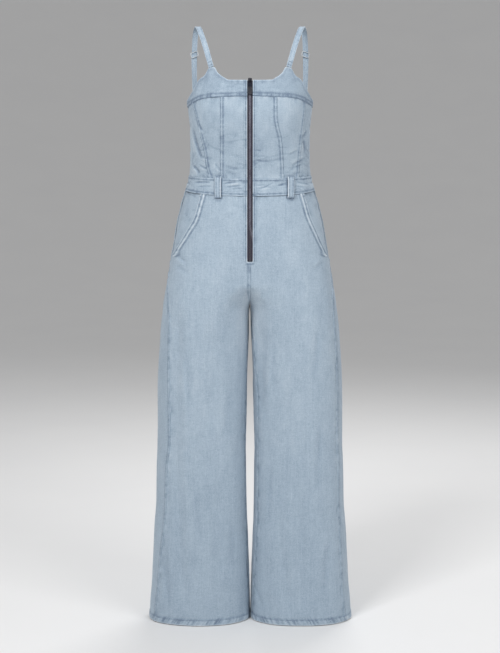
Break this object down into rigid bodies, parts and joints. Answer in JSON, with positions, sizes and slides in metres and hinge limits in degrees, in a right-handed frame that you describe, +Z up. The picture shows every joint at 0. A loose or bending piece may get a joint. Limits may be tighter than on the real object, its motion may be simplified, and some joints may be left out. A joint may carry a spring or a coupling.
{
  "type": "bustier jumpsuit",
  "caption": "Hollow worn-form denim jumpsuit with a bustier top, shoulder straps, an exposed front zip with a swinging pull tab, a belt-looped waist and wide straight legs.",
  "frame": {"origin": "midway between the tops of the two shoulder straps, where the wearer's shoulders hold the garment", "axes": "+Z up, -Y out of the garment's front, +X to the right of someone who looks at the front"},
  "size_m": [0.4987, 0.2478, 1.4411],
  "materials": {
    "denim": "light washed denim, matte, with tonal thread",
    "slide_metal": "pale enamelled strap slide",
    "zip_tape": "dark woven zip tape",
    "zip_metal": "dark gunmetal teeth, slider and pull tab"
  },
  "bodies": {
    "garment": {"centre_front_left": "denim", "centre_front_right": "denim", "side_front_left": "denim", "side_front_right": "denim", "side_panel_left": "denim", "side_panel_right": "denim", "top_band_left": "denim", "top_band_right": "denim", "leg_front_left": "denim", "leg_front_right": "denim", "leg_back_left": "denim", "leg_back_right": "denim", "pocket_facing_left": "denim", "pocket_facing_right": "denim", "strap_left": "denim", "strap_right": "denim", "strap_doubling_left": "denim", "strap_doubling_right": "denim", "back_bodice": "denim", "waistband_front_left": "denim", "waistband_front_right": "denim", "waistband_back": "denim", "belt_loop_front_left": "denim", "belt_loop_front_right": "denim", "belt_loop_back_left": "denim", "belt_loop_back_centre": "denim", "belt_loop_back_right": "denim", "strap_slide_left": "slide_metal", "strap_slide_right": "slide_metal", "zip_tape_left": "zip_tape", "zip_tape_right": "zip_tape", "zip_chain": "zip_metal", "zip_bottom_stop": "zip_metal", "zip_slider": "zip_metal"},
    "pull_tab": {"zip_pull_tab": "zip_metal"}
  },
  "joints": [
    {"name": "pull_tab_hinge", "type": "hinge", "parent": "garment", "child": "pull_tab", "pos_m": [0, -0.11293, -0.12718], "axis": [-1, 0, 0], "range_deg": [0, 165]}
  ]
}
